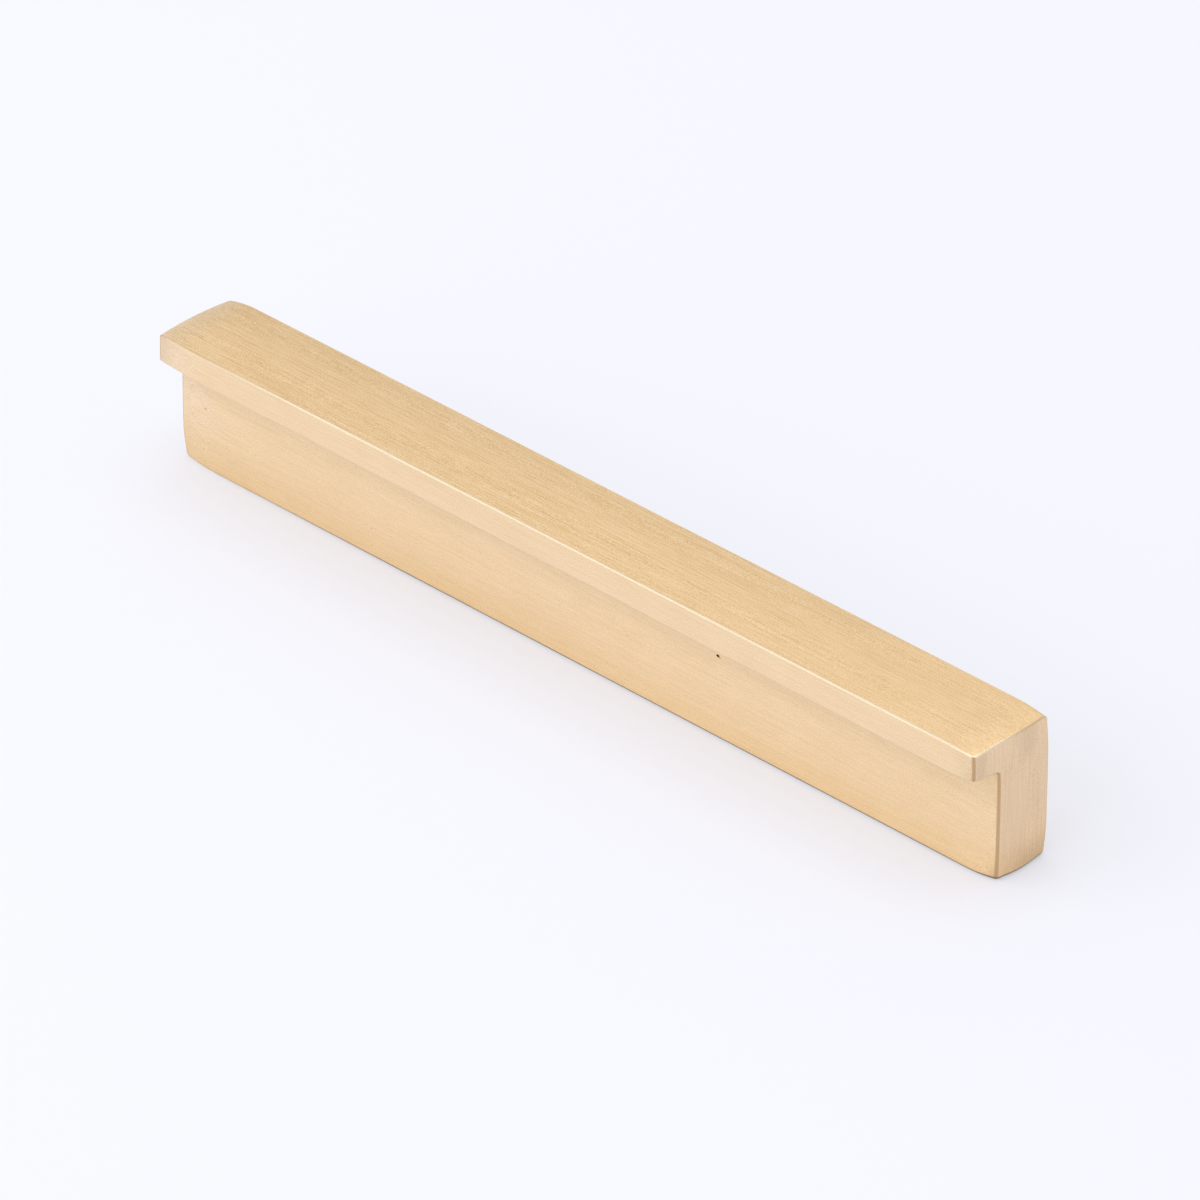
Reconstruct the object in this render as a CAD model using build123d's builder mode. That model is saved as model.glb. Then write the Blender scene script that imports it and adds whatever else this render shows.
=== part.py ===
from build123d import *
from math import radians, tan
import os

# A pull handle for a door, cut from one solid brass bar with an L-shaped section.
# The origin is on the mounting face, half way between the two tapped holes.
# X runs along the bar, Z points away from the door, and the finger lip faces -Y.

# The bar and its section
bar_length = 160.0
stem_depth = 10.6
lip_overhang = 5.1
projection = 24.0
lip_tip_thickness = 4.9
lip_root_thickness = 5.0

# Gentle bows that grinding leaves on the top, as a height of arc, and on both ends
top_bow = 0.30
end_bow_radius = 120.0

# Rounded edges
lip_edge_radius = 0.45
finger_root_radius = 0.70
foot_edge_radius = 0.75
back_top_radius = 1.30
end_edge_radius = 0.40

# Two blind holes, tapped from the mounting face, on the middle line of the stem
hole_count = 2
hole_spacing = 128.0
thread_diameter = 4.0
thread_pitch = 0.7
tapped_depth = 12.0
drill_point_angle = 118.0
mouth_chamfer = 0.10
mouth_angle = 120.0

# Places that follow from the sizes above
back_y = stem_depth / 2
stem_front_y = -stem_depth / 2
lip_front_y = stem_front_y - lip_overhang
middle_y = (back_y + lip_front_y) / 2
end_x = bar_length / 2
end_bow_centre_x = end_x - end_bow_radius
top_edge_z = projection - top_bow
lip_under_z = top_edge_z - lip_tip_thickness
finger_root_z = top_edge_z - lip_root_thickness
tap_drill_radius = (thread_diameter - thread_pitch) / 2
mouth_radius = thread_diameter / 2 + mouth_chamfer
drill_point_height = tap_drill_radius / tan(radians(drill_point_angle / 2))

with BuildPart() as handle_bar:
    # The L section, going round from the front of the lip
    lip_top = (lip_front_y, top_edge_z)
    back_top = (back_y, top_edge_z)
    back_foot = (back_y, 0)
    front_foot = (stem_front_y, 0)
    finger_root = (stem_front_y, finger_root_z)
    lip_bottom = (lip_front_y, lip_under_z)
    with BuildSketch(Plane.YZ) as section:
        with BuildLine():
            ThreePointArc(lip_top, (middle_y, projection), back_top)
            Polyline(back_top, back_foot, front_foot, finger_root, lip_bottom, lip_top)
        make_face()
        for corner, radius in (
            (lip_top, lip_edge_radius),
            (lip_bottom, lip_edge_radius),
            (finger_root, finger_root_radius),
            (front_foot, foot_edge_radius),
            (back_foot, foot_edge_radius),
            (back_top, back_top_radius),
        ):
            fillet(section.vertices().sort_by_distance(corner)[0], radius)
    extrude(amount=bar_length, both=True)

    # That bar is twice too long, and two large circles cut it to length with bowed ends
    with BuildSketch(Plane.XY) as plan:
        with Locations((end_bow_centre_x, middle_y)):
            Circle(end_bow_radius)
        with Locations((-end_bow_centre_x, middle_y)):
            Circle(end_bow_radius, mode=Mode.INTERSECT)
    extrude(amount=2 * projection, both=True, mode=Mode.INTERSECT)

    # The edges of both ends are broken all round
    faces_along_bar = handle_bar.faces().sort_by(Axis.X)
    fillet(faces_along_bar[0].edges() + faces_along_bar[-1].edges(), end_edge_radius)

    # Tapped holes, with a chamfered mouth and a drill point
    with Locations(Plane((0, 0, 0), x_dir=(1, 0, 0), z_dir=(0, 0, -1))):
        with GridLocations(hole_spacing, 0, hole_count, 1):
            CounterSinkHole(tap_drill_radius, mouth_radius, tapped_depth, mouth_angle)
    with Locations(Plane.XY.offset(tapped_depth)):
        with GridLocations(hole_spacing, 0, hole_count, 1):
            Cone(
                tap_drill_radius,
                0,
                drill_point_height,
                align=(Align.CENTER, Align.CENTER, Align.MIN),
                mode=Mode.SUBTRACT,
            )

handle_bar.part.label = "handle_bar"
os.makedirs("parts", exist_ok=True)
export_step(handle_bar.part, "parts/handle_bar.step")
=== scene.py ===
# %% [markdown]
# # A pull handle of brushed brass
#
# The real object is one solid bar of brass with an L-shaped section. Its stem stands on the
# door, and a lip along the outer edge overhangs the stem, so that fingertips can hook behind
# it. Two screws come through the door from behind into tapped holes in the foot.
#
# The exact bar is loaded first. It gives the place and the size of everything that follows.

# %% Load the exact bar
from math import cos, exp, pi, radians, sin, tan

import bpy
from mathutils import Matrix, Vector


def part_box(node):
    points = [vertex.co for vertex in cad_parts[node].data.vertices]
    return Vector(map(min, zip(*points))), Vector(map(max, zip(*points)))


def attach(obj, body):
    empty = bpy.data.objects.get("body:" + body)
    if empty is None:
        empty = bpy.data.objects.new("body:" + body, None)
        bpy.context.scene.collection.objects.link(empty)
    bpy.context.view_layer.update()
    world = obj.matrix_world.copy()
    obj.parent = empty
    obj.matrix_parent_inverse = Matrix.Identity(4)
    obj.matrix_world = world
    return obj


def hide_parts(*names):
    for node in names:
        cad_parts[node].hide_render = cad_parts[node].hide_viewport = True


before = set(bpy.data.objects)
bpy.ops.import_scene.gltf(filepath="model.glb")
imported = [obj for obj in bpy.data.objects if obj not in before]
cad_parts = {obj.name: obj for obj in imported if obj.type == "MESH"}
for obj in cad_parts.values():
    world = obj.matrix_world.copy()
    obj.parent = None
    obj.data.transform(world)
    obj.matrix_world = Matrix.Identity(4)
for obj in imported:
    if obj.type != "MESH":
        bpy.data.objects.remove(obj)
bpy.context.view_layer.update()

mm = 0.001
bar_low, bar_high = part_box("handle_bar")
middle_y = (bar_low.y + bar_high.y) / 2
half_length = (bar_high.x - bar_low.x) / 2
half_depth = (bar_high.y - bar_low.y) / 2
print("bar", [round(v / mm, 2) for v in bar_high - bar_low], "mm")

# %% [markdown]
# ## The camera
#
# A long lens far away keeps the bar's edges almost parallel, as in a product photograph. The
# camera could be tracked to a target with a constraint. Writing its axes out instead also
# gives the slight roll that a tripod levelled by hand has.

# %% Place the camera
camera_azimuth = radians(43.35)
camera_elevation = radians(33.05)
camera_roll = radians(0.235)
camera_distance = 1553.8 * mm
camera_lens = 328.9
aim_height = 11.0 * mm
aim_right = 1.35 * mm
aim_up = -1.06 * mm


def toward(azimuth, elevation):
    """The direction to a place that lies round from straight in front, and up."""
    return Vector((
        sin(azimuth) * cos(elevation),
        -cos(azimuth) * cos(elevation),
        sin(elevation),
    ))


def camera_axes():
    """The camera's right, up and back directions."""
    back = toward(camera_azimuth, camera_elevation)
    level = Vector((cos(camera_azimuth), sin(camera_azimuth), 0))
    above = back.cross(level)
    right = cos(camera_roll) * level + sin(camera_roll) * above
    up = cos(camera_roll) * above - sin(camera_roll) * level
    return right, up, back


right, up, back = camera_axes()
aim = Vector((0, middle_y, aim_height)) + aim_right * right + aim_up * up
bpy.ops.object.camera_add()
camera = bpy.context.object
camera.name = "camera"
camera.data.sensor_width = 36
camera.data.lens = camera_lens
camera.data.clip_end = 20
camera.rotation_mode = "QUATERNION"
camera.rotation_quaternion = Matrix((right, up, back)).transposed().to_quaternion()
camera.location = aim + camera_distance * back
bpy.context.scene.camera = camera
bpy.context.scene.view_settings.view_transform = "Standard"
print("camera", [round(v, 3) for v in camera.location])

# %% [markdown]
# ## Helpers for modelling
#
# Every operator works on what is selected, so each step first selects one piece alone, and
# then the faces or edges that it needs, by where they lie.

# %% Select a piece, its faces or its edges


def only(piece):
    """Selects one piece and nothing else."""
    bpy.ops.object.select_all(action="DESELECT")
    piece.select_set(True)
    bpy.context.view_layer.objects.active = piece


def settle(name):
    """Names the new primitive and moves its place, turn and size into its mesh."""
    piece = bpy.context.object
    only(piece)
    piece.name = name
    piece.data.name = name
    bpy.ops.object.transform_apply(location=True, rotation=True, scale=True)
    return piece


def pick_faces(piece, test):
    """Goes into edit mode with the faces selected that pass the test of their centre and normal."""
    only(piece)
    bpy.ops.object.mode_set(mode="EDIT")
    bpy.ops.mesh.select_mode(type="FACE")
    bpy.ops.mesh.select_all(action="DESELECT")
    bpy.ops.object.mode_set(mode="OBJECT")
    for face in piece.data.polygons:
        face.select = test(face.center, face.normal)
    bpy.ops.object.mode_set(mode="EDIT")


def pick_edges(piece, test):
    """Goes into edit mode with the edges selected that pass the test of their two ends."""
    only(piece)
    bpy.ops.object.mode_set(mode="EDIT")
    bpy.ops.mesh.select_mode(type="EDGE")
    bpy.ops.mesh.select_all(action="DESELECT")
    bpy.ops.object.mode_set(mode="OBJECT")
    points = piece.data.vertices
    for edge in piece.data.edges:
        edge.select = test(points[edge.vertices[0]].co, points[edge.vertices[1]].co)
    bpy.ops.object.mode_set(mode="EDIT")


# %% Cut, finish and drill


def cut(piece, point, normal):
    """Adds a line of edges where a plane crosses the piece."""
    only(piece)
    bpy.ops.object.mode_set(mode="EDIT")
    bpy.ops.mesh.select_all(action="SELECT")
    bpy.ops.mesh.bisect(plane_co=point, plane_no=normal)
    bpy.ops.object.mode_set(mode="OBJECT")


def finish_with(piece, kind, **settings):
    """Adds a modifier and applies it."""
    only(piece)
    modifier = piece.modifiers.new(kind.lower(), kind)
    for name, value in settings.items():
        setattr(modifier, name, value)
    bpy.ops.object.modifier_apply(modifier=modifier.name)


def take_away(piece, tool):
    """Cuts the shape of a tool out of a piece, and throws the tool away."""
    if not tool.data.materials:
        tool.data.materials.append(piece.data.materials[0])
    finish_with(
        piece,
        "BOOLEAN",
        object=tool,
        operation="DIFFERENCE",
        solver="MANIFOLD",
        material_mode="TRANSFER",
    )
    only(tool)
    bpy.ops.object.delete()


# %% [markdown]
# ## The blank
#
# The real bar starts as an extruded L-shaped blank. Here it starts as a cuboid for the stem,
# cut once at the height of the lip's root. The strip above that cut is extruded forward, as
# the lip. Drawing the section as a curve would work too, but faces and edges are what the
# next steps need.

# %% Make the stem
stem_depth = 10.6 * mm
top_bow = 0.30 * mm
stem_front = bar_high.y - stem_depth
edge_height = bar_high.z - top_bow


def new_material(name):
    """A material with its node tree and main shader."""
    material = bpy.data.materials.new(name)
    material.use_nodes = True
    tree = material.node_tree
    return material, tree, tree.nodes["Principled BSDF"]


stem_low = Vector((bar_low.x, stem_front, bar_low.z))
stem_high = Vector((bar_high.x, bar_high.y, edge_height))
bpy.ops.object.select_all(action="DESELECT")
bpy.ops.mesh.primitive_cube_add(size=1, location=(stem_low + stem_high) / 2, scale=stem_high - stem_low)
bar = settle("finished_bar")
brass, brass_tree, metal = new_material("satin_brass")
bar.data.materials.append(brass)

# %% Extrude the lip
lip_overhang = 2 * half_depth - stem_depth
lip_root_thickness = 5.0 * mm
lip_tip_thickness = 4.9 * mm
root_height = edge_height - lip_root_thickness
same_place = 0.01 * mm


def near(a, b):
    """Whether two lengths are the same, apart from rounding."""
    return abs(a - b) < same_place


def lip_lower_edge(a, b):
    """Whether an edge, given by its two ends, is the lower front edge of the lip."""
    return all(near(p.y, bar_low.y) and near(p.z, root_height) for p in (a, b))


cut(bar, (0, 0, root_height), (0, 0, 1))
pick_faces(bar, lambda centre, normal: normal.y < -0.9 and centre.z > root_height)
bpy.ops.mesh.extrude_region_move(TRANSFORM_OT_translate={"value": (0, -lip_overhang, 0)})
bpy.ops.object.mode_set(mode="OBJECT")
pick_edges(bar, lip_lower_edge)
bpy.ops.transform.translate(value=(0, 0, lip_root_thickness - lip_tip_thickness))
bpy.ops.object.mode_set(mode="OBJECT")
print("blank", len(bar.data.polygons), "faces")

# %% [markdown]
# ## Broken edges
#
# On the real bar every edge has been broken on a belt, the front edges hardly and the back
# top edge most. One bevel with a weight for each edge rounds them all at once, so that edges
# of different radius still meet in a clean corner.

# %% Choose the radius of each edge
largest_radius = 2.0 * mm
along_radius = {
    "lip top": 0.28 * mm,
    "lip bottom": 0.45 * mm,
    "finger root": 0.70 * mm,
    "front foot": 0.60 * mm,
    "back foot": 0.75 * mm,
    "back top": 1.30 * mm,
}
end_radius = {
    "top left": 0.83 * mm,
    "top right": 0.35 * mm,
    "foot": 0.80 * mm,
    "front left": 0.45 * mm,
    "front right": 0.62 * mm,
    "back": 0.60 * mm,
}
lip_bottom_height = edge_height - lip_tip_thickness
corners = {
    "lip top": (bar_low.y, edge_height),
    "lip bottom": (bar_low.y, lip_bottom_height),
    "finger root": (stem_front, root_height),
    "front foot": (stem_front, bar_low.z),
    "back foot": (bar_high.y, bar_low.z),
    "back top": (bar_high.y, edge_height),
}


def radius_of(a, b):
    """The radius that an edge of the blank gets, or 0 for a line inside a flat face."""
    middle = (a + b) / 2
    along = b - a
    if abs(along.x) > half_length:
        for name, (y, z) in corners.items():
            if near(middle.y, y) and near(middle.z, z):
                return along_radius[name]
        return 0
    side = "left" if middle.x < 0 else "right"
    if abs(along.y) > abs(along.z):
        if near(middle.z, edge_height):
            return end_radius[f"top {side}"]
        if near(middle.z, bar_low.z):
            return end_radius["foot"]
        return end_radius[f"front {side}"] if middle.y < stem_front else 0
    return end_radius["back"] if near(middle.y, bar_high.y) else end_radius[f"front {side}"]


# %% Round the edges
weights = bar.data.attributes.new("bevel_weight_edge", "FLOAT", "EDGE")
for edge in bar.data.edges:
    a, b = (bar.data.vertices[i].co for i in edge.vertices)
    weights.data[edge.index].value = radius_of(a, b) / largest_radius
finish_with(
    bar,
    "BEVEL",
    width=largest_radius,
    segments=8,
    limit_method="WEIGHT",
    use_clamp_overlap=False,
    miter_outer="MITER_SHARP",
)
print("rounded", len(bar.data.polygons), "faces")

# %% [markdown]
# ## Lines for the shape to bend at
#
# The faces of the real bar are not quite flat: grinding has left gentle bows. A flat face has
# no points inside it to move, so planes cut the bar along all three axes. The cuts lie closer
# together near the ends, where the shape changes faster.

# %% Cut the faces into a lattice
steps_from_end = [0.8, 1.2, 1.6, 2.2, 3.0, 4.0, 5.0, 6.0, 7.0, 8.0, 10.0, 12.0, 20.0, 30.0, 45.0, 60.0]
right_cuts = [half_length - step * mm for step in steps_from_end]
for x in [-x for x in right_cuts] + [0] + right_cuts:
    cut(bar, (x, 0, 0), (1, 0, 0))
depth_cuts = 12
for i in range(1, depth_cuts):
    cut(bar, (0, bar_low.y + 2 * half_depth * i / depth_cuts, 0), (0, 1, 0))
height_cuts = 14
for i in range(1, height_cuts):
    cut(bar, (0, 0, edge_height * i / height_cuts), (0, 0, 1))
print("lattice", len(bar.data.polygons), "faces")

# %% [markdown]
# ## The ground shape
#
# Held against a belt by hand, the bar lost a little more metal near its two ends: the end
# faces bow, the top dips, the fronts roll back, and the corners are eased. Each of these is a
# smooth amount that fades with the distance from the end. A lattice modifier could bend the
# bar as well, but a formula gives each amount its real size.

# %% How much each end was ground
end_bow = 0.19 * mm
end_bow_reach = 12 * mm
end_top_pull = 0.17 * mm
dip_at_end = {"left": 0.75 * mm, "right": 0.48 * mm}
dip_toward_back = {"left": 0.26 * mm, "right": 0.16 * mm}
dip_reach = 6 * mm
roll_of_front = {"left": 0.40 * mm, "right": 0.22 * mm}
roll_of_lip = {"left": 0.45 * mm, "right": 0}
roll_reach = {"left": 10 * mm, "right": 2.4 * mm}
foot_corner_front = {"left": 0.30 * mm, "right": 0.55 * mm}
foot_corner_back = 0.22 * mm
foot_lift_reach = 2 * mm
top_corner_back = {"left": 0, "right": 0.32 * mm}
lip_tip_easing = {"left": 0.10 * mm, "right": 0.68 * mm}
corner_reach = 3 * mm

# %% Bow, dip and ease the ends


def share(value):
    """The value, kept between 0 and 1."""
    return min(1, max(0, value))


def fades(*distances):
    """1 at a corner, and falling to nothing a few millimetres away from it."""
    return exp(-sum((distance / corner_reach) ** 2 for distance in distances))


def ground(point):
    """Where a point of the straight bar lies on the ground one."""
    side = "right" if point.x > 0 else "left"
    outward = 1 if side == "right" else -1
    from_end = half_length - abs(point.x)
    across = (point.y - middle_y) / half_depth
    height = point.z / edge_height
    out_on_lip = share((stem_front - point.y) / lip_overhang)

    # The ends bow in plan, and lean inwards toward the top
    bow = end_bow * across ** 2 + end_top_pull * max(0, 2 * height - 1) ** 2
    inward = bow * share(1 - from_end / end_bow_reach)

    # The top bows across and dips at both ends
    dip = (dip_at_end[side] + dip_toward_back[side] * across) * share(1 - from_end / dip_reach) ** 2
    rise = (top_bow * (1 - across ** 2) - dip) * height

    # The faces in front roll back
    in_front = share((bar_high.y - point.y) / stem_depth)
    rolled = share(1 - from_end / roll_reach[side]) ** 2
    backward = (roll_of_front[side] * in_front + roll_of_lip[side] * out_on_lip) * rolled

    # The corners of the foot, of the top and of the lip are eased
    front_corner = foot_corner_front[side] * fades(from_end, point.y - stem_front, point.z)
    back_corner = foot_corner_back * fades(from_end, bar_high.y - point.y, point.z)
    top_corner = top_corner_back[side] * fades(from_end, bar_high.y - point.y, edge_height - point.z)
    inward += front_corner + back_corner + top_corner
    backward += front_corner - back_corner
    rise += (front_corner + back_corner) * share(point.z / foot_lift_reach)
    below_top = share((edge_height - point.z) / lip_tip_thickness)
    rise += lip_tip_easing[side] * fades(from_end) * out_on_lip * below_top

    return point + Vector((-outward * inward, backward, rise))


for vertex in bar.data.vertices:
    vertex.co = ground(vertex.co)
print("ground", [round(v / mm, 3) for v in bar.dimensions])

# %% [markdown]
# ## The tapped holes
#
# The mounting face is hidden against the door. The real one has a hole near each end, drilled,
# countersunk and tapped. The tools are modelled instead of the hole: a drill with its point, a
# countersink, and the ridge of the tap, which is a flat trapezium wound up by a Screw
# modifier. Cutting them out of the bar leaves a true thread.

# %% Sizes of the holes and their thread
hole_spacing = 128 * mm
thread_radius = 2.0 * mm
thread_pitch = 0.7 * mm
drill_radius = thread_radius - thread_pitch / 2
drilled_depth = 12 * mm
tapped_depth = 10.5 * mm
mouth_radius = 2.10 * mm
mouth_half_angle = radians(60)
drill_point_half_angle = radians(59)
thread_half_angle = radians(30)
root_flat = thread_pitch / 8
inside_the_bore = 0.1 * mm
clear_of_face = 0.8 * mm
round_steps = 48

# %% Make the drill and the countersink


def drill_tool(x):
    """A drill that stands in the hole, with its cone-shaped point upwards."""
    bpy.ops.mesh.primitive_cylinder_add(
        vertices=round_steps,
        radius=drill_radius,
        depth=drilled_depth + clear_of_face,
        location=(x, 0, (drilled_depth - clear_of_face) / 2),
    )
    drill = settle("drill")
    point_length = drill_radius / tan(drill_point_half_angle)
    pick_faces(drill, lambda centre, normal: normal.z > 0.9)
    bpy.ops.mesh.extrude_region_move(TRANSFORM_OT_translate={"value": (0, 0, point_length)})
    bpy.ops.mesh.merge(type="CENTER")
    bpy.ops.object.mode_set(mode="OBJECT")
    return drill


def countersink_tool(x):
    """A cone that opens the mouth of the hole."""
    low_radius = mouth_radius + clear_of_face * tan(mouth_half_angle)
    depth = low_radius / tan(mouth_half_angle)
    bpy.ops.mesh.primitive_cone_add(
        vertices=round_steps,
        radius1=low_radius,
        radius2=0,
        depth=depth,
        location=(x, 0, depth / 2 - clear_of_face),
    )
    return settle("countersink")


# %% Make the tap


def tap_section():
    """The section of the tap's ridge, a trapezium that is wide at the core."""
    core_radius = drill_radius - inside_the_bore
    depth = thread_radius - core_radius
    width = root_flat + 2 * depth * tan(thread_half_angle)
    bpy.ops.mesh.primitive_plane_add(
        size=1,
        location=((thread_radius + core_radius) / 2, 0, -clear_of_face),
        rotation=(pi / 2, 0, 0),
    )
    bpy.context.object.scale = (depth, width, 1)
    section = settle("tap")
    pick_edges(section, lambda a, b: near(a.x, thread_radius) and near(b.x, thread_radius))
    bpy.ops.transform.resize(
        value=(1, 1, root_flat / width),
        center_override=(thread_radius, 0, -clear_of_face),
    )
    bpy.ops.object.mode_set(mode="OBJECT")
    return section


def close_shell(piece):
    """Joins the turns of a wound-up ridge, closes its two ends and turns its faces outwards."""
    only(piece)
    bpy.ops.object.mode_set(mode="EDIT")
    bpy.ops.mesh.select_all(action="SELECT")
    bpy.ops.mesh.remove_doubles(threshold=0.001 * mm)
    bpy.ops.mesh.select_all(action="DESELECT")
    bpy.ops.mesh.select_non_manifold()
    bpy.ops.mesh.fill_holes(sides=0)
    bpy.ops.mesh.select_all(action="SELECT")
    bpy.ops.mesh.normals_make_consistent(inside=False)
    bpy.ops.object.mode_set(mode="OBJECT")


def tap_tool(x):
    """The ridge of a tap, wound up along the hole."""
    tap = tap_section()
    finish_with(
        tap,
        "SCREW",
        steps=round_steps,
        render_steps=round_steps,
        screw_offset=thread_pitch,
        iterations=round((tapped_depth + clear_of_face) / thread_pitch),
        use_merge_vertices=False,
    )
    close_shell(tap)
    tap.location.x = x
    only(tap)
    bpy.ops.object.transform_apply(location=True, rotation=False, scale=False)
    return tap


# %% Drill, countersink and tap
for hole_x in (-hole_spacing / 2, hole_spacing / 2):
    for make_tool in (drill_tool, countersink_tool, tap_tool):
        take_away(bar, make_tool(hole_x))
print("tapped", len(bar.data.polygons), "faces")

# %% [markdown]
# ## Pits
#
# Small pits are left in the metal: a deep one below the lip, with a bright lower rim, and a
# few that are hardly more than brown specks. Each is a real hollow, cut by a tiny ball that is
# stretched along the brushing. The ball carries the dark colour, and the cut hands it over to
# the new faces.

# %% Make the finishes of the pits


def pit_finish(name, colour):
    """Brass gone dark inside a pit."""
    material, _, shader = new_material(name)
    shader.inputs["Base Color"].default_value = (*colour, 1)
    shader.inputs["Metallic"].default_value = 0.6
    shader.inputs["Roughness"].default_value = 0.6
    return material


dark_pit = pit_finish("dark_pit", (0.02, 0.012, 0.008))
gold_rim = pit_finish("gold_rim", (0.62, 0.36, 0.10))
brown_speck = pit_finish("brown_speck", (0.60, 0.33, 0.10))

# %% Cut the pits
FRONT = "front"
TOP = "top"
well_outside = 1.0
pits = (
    # face, place along the bar and up or across it, size along, across and in, and finish
    (FRONT, 27.50 * mm, 13.80 * mm, 0.54 * mm, 0.34 * mm, 0.08 * mm, gold_rim),
    (FRONT, 27.20 * mm, 13.95 * mm, 0.62 * mm, 0.42 * mm, 0.22 * mm, dark_pit),
    (FRONT, -74.77 * mm, 10.55 * mm, 0.46 * mm, 0.24 * mm, 0.06 * mm, brown_speck),
    (FRONT, -77.65 * mm, 8.43 * mm, 0.30 * mm, 0.14 * mm, 0.04 * mm, brown_speck),
    (FRONT, -77.0 * mm, 8.16 * mm, 0.34 * mm, 0.14 * mm, 0.04 * mm, brown_speck),
    (FRONT, -70.4 * mm, 6.00 * mm, 0.22 * mm, 0.12 * mm, 0.03 * mm, brown_speck),
    (FRONT, -64.4 * mm, 7.11 * mm, 0.26 * mm, 0.14 * mm, 0.03 * mm, brown_speck),
    (FRONT, -40.9 * mm, 4.92 * mm, 0.26 * mm, 0.20 * mm, 0.04 * mm, brown_speck),
    (FRONT, -40.9 * mm, 1.99 * mm, 0.22 * mm, 0.14 * mm, 0.03 * mm, brown_speck),
    (FRONT, 9.8 * mm, 9.47 * mm, 0.18 * mm, 0.28 * mm, 0.03 * mm, brown_speck),
    (TOP, -62.4 * mm, -5.94 * mm, 0.24 * mm, 0.30 * mm, 0.04 * mm, brown_speck),
)


def surface_under(face, x, sideways):
    """Where the ground surface lies at a place on the front of the stem or on the top."""
    start = Vector((x, -well_outside, sideways)) if face == FRONT else Vector((x, sideways, well_outside))
    direction = Vector((0, 1, 0)) if face == FRONT else Vector((0, 0, -1))
    _, place, _, _ = bar.ray_cast(start, direction)
    return place


for face, x, sideways, along, wide, deep, finish in pits:
    place = surface_under(face, x, sideways)
    size = (along / 2, deep, wide / 2) if face == FRONT else (along / 2, wide / 2, deep)
    bpy.ops.object.select_all(action="DESELECT")
    bpy.ops.mesh.primitive_ico_sphere_add(subdivisions=2, radius=1, location=place, scale=size)
    ball = settle("pit_ball")
    ball.data.materials.append(finish)
    take_away(bar, ball)
print("pits", len(pits), "finishes", [slot.name for slot in bar.material_slots])

# %% [markdown]
# ## Smooth faces, crisp edges
#
# A fine mesh still shows its facets until its normals are shared between neighbours. Smoothing
# by angle leaves the thread and the pits crisp. Weighting the normals by area keeps the broad
# flats flat right up to their rounded edges.

# %% Smooth
crisp_from = radians(30)
only(bar)
bpy.ops.object.shade_smooth_by_angle(angle=crisp_from)
finish_with(bar, "WEIGHTED_NORMAL", keep_sharp=True, weight=50)
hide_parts("handle_bar")
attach(bar, "root")

# %% [markdown]
# ## Brushed brass
#
# The finish of the real bar is satin brushing: fine scratches that run along the bar, and up
# and down its two ends. They make each highlight spread across the scratches, which is what
# the anisotropy of a metal shader does, so its tangent is turned across the brushing. The
# scratches themselves are noise stretched along the brushing.

# %% Small tools for building a material


def add_node(tree, kind, inputs=(), **settings):
    """Adds a node, sets its settings, and fills or links the inputs that are given."""
    node = tree.nodes.new(kind)
    for name, value in settings.items():
        setattr(node, name, value)
    for key, value in dict(inputs).items():
        if isinstance(value, bpy.types.NodeSocket):
            tree.links.new(value, node.inputs[key])
        else:
            node.inputs[key].default_value = value
    return node


def calculate(tree, operation, *values):
    """The result of a Math node."""
    return add_node(tree, "ShaderNodeMath", enumerate(values), operation=operation).outputs[0]


def mix_values(factor, first, second):
    """A mix of two numbers."""
    return add_node(brass_tree, "ShaderNodeMix", {0: factor, 2: first, 3: second}).outputs[0]


def blend(factor, first, second):
    """A mix of two colours or vectors."""
    node = add_node(brass_tree, "ShaderNodeMix", {"Factor": factor}, data_type="RGBA")
    for socket, value in zip([s for s in node.inputs if s.type == "RGBA"], (first, second)):
        if isinstance(value, bpy.types.NodeSocket):
            brass_tree.links.new(value, socket)
        else:
            socket.default_value = value
    return next(s for s in node.outputs if s.type == "RGBA")


def vector(operation, *values, **inputs):
    """The result of a Vector Math node."""
    inputs = {**dict(enumerate(values)), **inputs}
    return add_node(brass_tree, "ShaderNodeVectorMath", inputs, operation=operation).outputs[0]


def ramp(value, start, stop, low=0.0, high=1.0):
    """A soft step from low to high as a value goes from start to stop."""
    inputs = {"Value": value, "From Min": start, "From Max": stop, "To Min": low, "To Max": high}
    node = add_node(brass_tree, "ShaderNodeMapRange", inputs, interpolation_type="SMOOTHSTEP")
    return node.outputs["Result"]


def product(*values):
    """All the values multiplied together."""
    result = values[0]
    for value in values[1:]:
        result = calculate(brass_tree, "MULTIPLY", result, value)
    return result


def unsigned(value):
    """The value without its sign."""
    return calculate(brass_tree, "ABSOLUTE", value)


# %% Where each part of the finish lies
coordinates = add_node(brass_tree, "ShaderNodeTexCoord")
position = coordinates.outputs["Object"]
normal = coordinates.outputs["Normal"]
spot_x, spot_y, height = add_node(brass_tree, "ShaderNodeSeparateXYZ", {0: position}).outputs
facing_x, facing_y, facing_z = add_node(brass_tree, "ShaderNodeSeparateXYZ", {0: normal}).outputs
toward_end = unsigned(facing_x)
toward_front = unsigned(facing_y)
level = unsigned(facing_z)
on_end = ramp(toward_end, 0.55, 0.75)
on_top = ramp(level, 0.55, 0.85)
upright = ramp(level, 0.8, 0.4)
on_lip = product(upright, ramp(spot_y, stem_front - 1.5 * mm, stem_front - 4.0 * mm))
toward_right = ramp(spot_x, 0, 60 * mm)

# %% Brush marks
ALONG_BAR = 0
UP_END = 2


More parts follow.
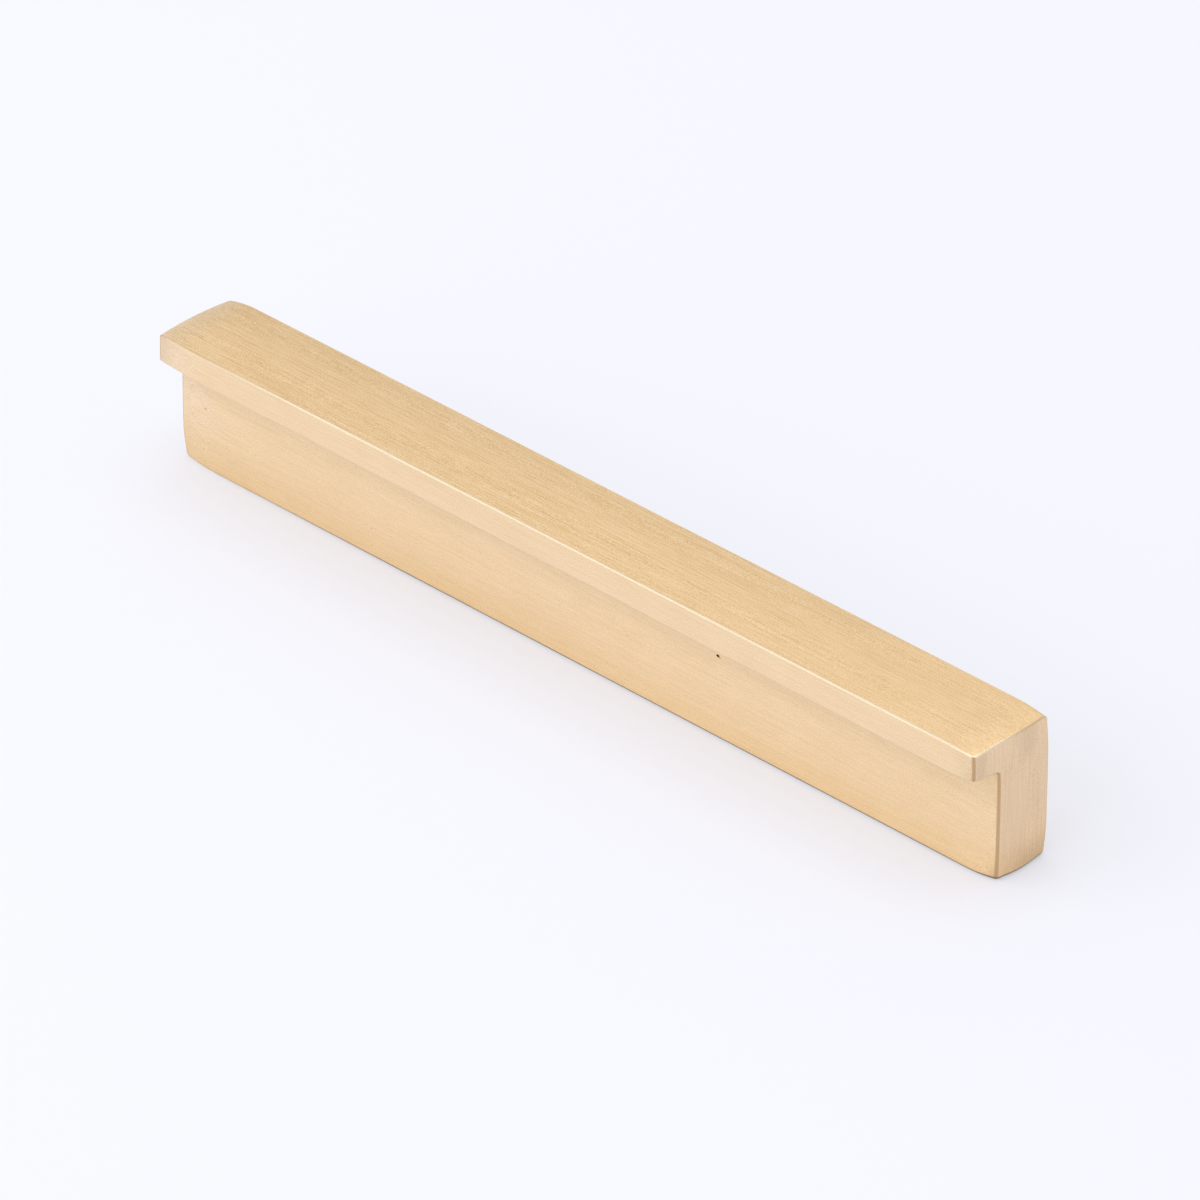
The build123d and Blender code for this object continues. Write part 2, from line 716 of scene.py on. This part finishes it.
def scratches(length, width, direction=ALONG_BAR, detail=1):
    """Noise stretched along the brushing, from 0 to 1."""
    stretch = [1 / width] * 3
    stretch[direction] = 1 / length
    stretched = add_node(brass_tree, "ShaderNodeMapping", {"Vector": position, "Scale": stretch})
    noise = add_node(
        brass_tree,
        "ShaderNodeTexNoise",
        {"Vector": stretched.outputs[0], "Scale": 1.0, "Detail": detail, "Roughness": 0.5},
    )
    return noise.outputs["Fac"]


long_lines = scratches(16 * mm, 0.17 * mm)
short_lines = scratches(3.0 * mm, 0.20 * mm)
lines_up_end = scratches(9.0 * mm, 0.21 * mm, direction=UP_END)
grain = scratches(0.16 * mm, 0.16 * mm)
clouds = scratches(9.0 * mm, 5.0 * mm, detail=2)
share_of_short_lines = 0.4
lines_along_bar = mix_values(share_of_short_lines, long_lines, short_lines)
marks = mix_values(on_end, lines_along_bar, lines_up_end)

# %% Strength of the brush marks
cloud_strength = 0.08


def by_face(front, top_left, top_right, end):
    """An amount of its own for the fronts, for the top from left to right, and for the ends."""
    top = mix_values(toward_right, top_left, top_right)
    return mix_values(on_end, mix_values(on_top, front, top), end)


def swing(value, amount):
    """How far noise lies from its middle, times an amount."""
    return calculate(brass_tree, "MULTIPLY", calculate(brass_tree, "SUBTRACT", value, 0.5), amount)


line_swing = swing(marks, by_face(front=0.32, top_left=0.78, top_right=0.60, end=0.26))
grain_swing = swing(grain, by_face(front=0.58, top_left=0.82, top_right=0.66, end=0.46))
fine_marks = calculate(brass_tree, "ADD", line_swing, grain_swing)
all_marks = calculate(brass_tree, "ADD", fine_marks, swing(clouds, cloud_strength))

# Light in a scratch bounces between its walls, and each bounce off brass takes more blue than red
channel_swing = (0.70, 1.0, 1.7)
tone = vector("ADD", vector("SCALE", channel_swing, Scale=all_marks), (1, 1, 1))

# %% [markdown]
# ## Tones of the brass, with painted light and shade
#
# Each face of the bar gets its own tone of brass, and these tones paint in light and shade:
# the top a brighter golden, the fronts paler above a golden foot, a darker band under the lip,
# and the lip, the ends and the left end of the top paler. Such tones could be painted on a
# texture by hand. Masks made from where a point lies and which way it faces need no picture,
# and stay sharp at any distance.

# %% Tones of the faces, painted light and shade
white = (1, 1, 1, 1)
golden = (0.878, 0.641, 0.364, 1)
golden_top = (0.933, 0.667, 0.376, 1)
stem_tone = (0.879, 0.664, 0.414, 1)
painted_recess_shade = (0.826, 0.624, 0.392, 1)
painted_pale_light = (0.871, 0.664, 0.427, 1)
less_yellow = (1, 1.02, 1.09, 1)
rosy = (0.995, 0.976, 0.988, 1)
painted_foot_shade = (0.875, 0.86, 0.83, 1)

# Painted light and shade: the top is a brighter golden than the upright faces, the uprights turn paler
# above the golden foot, and darker under the lip
brass_and_painted_light = blend(upright, golden_top, golden)
brass_and_painted_light = blend(product(upright, ramp(height, 0, 8 * mm)), brass_and_painted_light, stem_tone)
brass_and_painted_light = blend(product(upright, ramp(height, 11 * mm, 15 * mm)), brass_and_painted_light, painted_recess_shade)
# Painted light: the lip, the ends above their foot, and the left end of the top are paler
pale_end = product(on_end, ramp(height, 0, 12 * mm))
pale_top = product(on_top, ramp(spot_x, -73 * mm, -79 * mm))
pale = calculate(brass_tree, "MAXIMUM", calculate(brass_tree, "MAXIMUM", on_lip, pale_end), pale_top)
brass_and_painted_light = blend(pale, brass_and_painted_light, painted_pale_light)
# Painted light at the left end of the fronts, a painted rosy reflection on the end faces, and painted shade
# on the end faces near their foot
left_end = product(upright, ramp(spot_x, -70 * mm, -77 * mm), ramp(height, 4 * mm, 10 * mm))
end_foot = product(on_end, ramp(height, 6 * mm, 1 * mm), ramp(spot_y, -4 * mm, 1 * mm, 0.1, 1.0))
for mask, tint in ((left_end, less_yellow), (on_end, rosy), (end_foot, painted_foot_shade)):
    brass_and_painted_light = vector("MULTIPLY", brass_and_painted_light, blend(mask, white, tint))
colour = vector("MULTIPLY", brass_and_painted_light, tone)

# %% Painted shade


def darker(mask, amount):
    """A brightness that falls from 1 by an amount where a mask is 1."""
    return calculate(brass_tree, "MULTIPLY_ADD", mask, -amount, 1.0)


# Painted shade: both ends of the lip, the right half and right end of the top, the back of the top,
# and the left end of the foot in front. The end faces are also darker in a patch below their top.
# The painted shade along the back of the top is left out near its right end.
from_middle = unsigned(spot_x)
# Distance from the middle of the darker patch on the end faces
from_end_patch = unsigned(calculate(brass_tree, "SUBTRACT", spot_y, 0.5 * mm))
# Where the painted shade along the back of the top is left out
back_end_unshaded = product(ramp(spot_x, 46 * mm, 64 * mm), ramp(spot_y, -1.5 * mm, 2.5 * mm))
shade = product(
    darker(product(on_lip, ramp(from_middle, 75 * mm, 79.5 * mm)), 0.09),
    darker(product(on_top, toward_right), 0.02),
    darker(product(on_top, ramp(spot_x, 71 * mm, 79 * mm)), 0.08),
    darker(product(on_top, ramp(spot_y, -7 * mm, 5 * mm), darker(back_end_unshaded, 1.0)), 0.06),
    darker(product(upright, ramp(spot_x, 40 * mm, -60 * mm), ramp(height, 8 * mm, 3 * mm)), 0.035),
    darker(product(on_end, ramp(height, 17 * mm, 20.5 * mm), ramp(from_end_patch, 3.2 * mm, 0.5 * mm)), 0.09),
)
colour = vector("SCALE", colour, Scale=shade)

# %% Painted highlights and shade on the edges
# Colours that paint highlights and shade onto the rounded edges
painted_cream_highlight = (1.0, 0.83, 0.62, 1)
painted_highlight_tint = (0.665, 0.575, 0.435, 1)
painted_front_edge_shade = (0.54, 0.41, 0.265, 1)
painted_left_edge_shade = (0.72, 0.57, 0.43, 1)
painted_brown_edge_shade = (0.81, 0.60, 0.36, 1)
end_edge_share = 0.8


def on_rounding(first, second):
    """1 on the rounded edge between two faces, where the surface faces both ways."""
    return ramp(product(first, second), 0.20, 0.42)


# Painted highlight: the edge along the front of the top gets a paler tone, with painted shade near its left
# end
forward = calculate(brass_tree, "MULTIPLY", facing_y, -1.0)
edge_tone = blend(ramp(spot_x, -76 * mm, -48 * mm), painted_front_edge_shade, painted_highlight_tint)
colour = blend(on_rounding(forward, facing_z), colour, edge_tone)

# Painted highlight at the front corner of the right end's top edge, painted brown shade further back, and
# painted shade along the left end's top edge
right_edge = blend(ramp(spot_y, -5 * mm, 0), painted_cream_highlight, painted_brown_edge_shade)
edge_tone = blend(ramp(spot_x, -1 * mm, 1 * mm), painted_left_edge_shade, right_edge)
colour = blend(product(on_rounding(toward_end, facing_z), end_edge_share), colour, edge_tone)

# %% Painted shade on the arrises and at the foot
# Colours of the painted shade on the arrises and at the foot
brown = (0.50, 0.31, 0.15, 1)
painted_contact_shade = (0.26, 0.18, 0.12, 1)
brown_share = 0.75
contact_shade_share = 0.9

# Painted shade: the arrises at the ends are painted brown, and the rounding that meets the door gets a dark
# contact shade
arris = product(ramp(toward_end, 0.14, 0.36), ramp(toward_front, 0.45, 0.72))
colour = blend(product(arris, brown_share), colour, brown)
# Painted contact shade on the lower rounding that meets the door, weaker at the left end
foot = product(
    ramp(facing_z, -0.03, -0.35),
    ramp(facing_z, -0.99, -0.90),
    ramp(height, 0.90 * mm, 0.45 * mm),
    ramp(spot_x, -79 * mm, -30 * mm, 0.3, 1.0),
)
colour = blend(product(foot, contact_shade_share), colour, painted_contact_shade)
brass_tree.links.new(colour, metal.inputs["Base Color"])

# %% Shine of the brass
relief_strength = 0.12
scratch_depth = 0.01 * mm
metal.inputs["Metallic"].default_value = 1
metal.inputs["Roughness"].default_value = 0.40
metal.inputs["Anisotropic"].default_value = 0.75
brushing = blend(on_end, (1, 0, 0, 1), (0, 0, 1, 1))
across_brushing = add_node(
    brass_tree,
    "ShaderNodeVectorTransform",
    {0: vector("CROSS_PRODUCT", normal, brushing)},
    vector_type="VECTOR",
    convert_from="OBJECT",
    convert_to="WORLD",
)
brass_tree.links.new(across_brushing.outputs[0], metal.inputs["Tangent"])
relief = add_node(
    brass_tree,
    "ShaderNodeBump",
    {"Height": marks, "Strength": relief_strength, "Distance": scratch_depth},
)
brass_tree.links.new(relief.outputs[0], metal.inputs["Normal"])
print("brass", len(brass_tree.nodes), "nodes")

# %% [markdown]
# ## The paper floor
#
# The bar stands on white paper that runs on without an edge. Part of what the paper shows to
# the camera, and to the metal's reflections, is a plain glow, so that it looks white without
# more light on the bar. The rest is matt paper, which takes the bar's soft shadow.

# %% Lay the floor
floor_width = 8
below_bar = 0.02 * mm
floor_colour = (0.853, 0.86, 0.922, 1)
floor_glow = 0.5
bpy.ops.object.select_all(action="DESELECT")
bpy.ops.mesh.primitive_plane_add(size=floor_width, location=(0, 0, -below_bar))
floor = settle("floor")
paper, paper_tree, matt = new_material("paper")
matt.inputs["Base Color"].default_value = floor_colour
matt.inputs["Roughness"].default_value = 1
matt.inputs["Specular IOR Level"].default_value = 0
glow = add_node(paper_tree, "ShaderNodeEmission", {"Color": floor_colour, "Strength": 1})
rays = add_node(paper_tree, "ShaderNodeLightPath")
seen = calculate(paper_tree, "MAXIMUM", rays.outputs["Is Camera Ray"], rays.outputs["Is Glossy Ray"])
seen = calculate(paper_tree, "MAXIMUM", seen, rays.outputs["Is Transmission Ray"])
glow_share = calculate(paper_tree, "MULTIPLY", seen, floor_glow)
mixed = add_node(paper_tree, "ShaderNodeMixShader", {0: glow_share, 1: matt.outputs[0], 2: glow.outputs[0]})
paper_tree.links.new(mixed.outputs[0], paper_tree.nodes["Material Output"].inputs["Surface"])
floor.data.materials.append(paper)

# %% [markdown]
# ## Soft studio light
#
# A white room lights everything a little, and large softboxes do the rest. The key stands
# low at the front left, where the brushed front mirrors it. Each softbox is given by where it
# stands and how bright its cloth looks, and its power is worked out from that.

# %% Light the room
room_colour = (0.98, 0.99, 1.0, 1)
room_brightness = 0.75
room = bpy.data.worlds.new("room")
room.use_nodes = True
background = room.node_tree.nodes["Background"]
background.inputs["Color"].default_value = room_colour
background.inputs["Strength"].default_value = room_brightness
bpy.context.scene.world = room

# %% Hang the softboxes
softbox_distance = 1.5
softboxes = (
    # name, degrees round from the front, degrees up, width, height, and brightness of the cloth
    ("key_low", -45, 12, 1.3, 0.6, 1.10),
    ("key_high", -45, 38, 1.2, 0.8, 1.10),
    ("front_low", 0, 12, 1.1, 0.6, 1.10),
    ("front_high", 0, 38, 1.1, 0.8, 1.06),
    ("left", -90, 20, 1.1, 0.9, 0.47),
    ("right", 90, 20, 1.1, 0.9, 0.18),
    ("back_high", -155, 33, 0.8, 0.7, 0.22),
    ("above", 0, 90, 1.4, 1.4, 1.10),
)


def hang_softbox(name, azimuth, elevation, wide, high, brightness):
    """A lamp that faces the bar, with its power worked out from its brightness."""
    direction = toward(radians(azimuth), radians(elevation))
    bpy.ops.object.light_add(type="AREA")
    lamp = bpy.context.object
    lamp.name = name
    lamp.data.shape = "RECTANGLE"
    lamp.data.size = wide
    lamp.data.size_y = high
    lamp.data.energy = pi * wide * high * brightness
    lamp.location = softbox_distance * direction
    lamp.rotation_mode = "QUATERNION"
    lamp.rotation_quaternion = direction.to_track_quat("Z", "Y")
    lamp.visible_camera = False
    print(name, round(lamp.data.energy, 2), "W")


for softbox in softboxes:
    hang_softbox(*softbox)
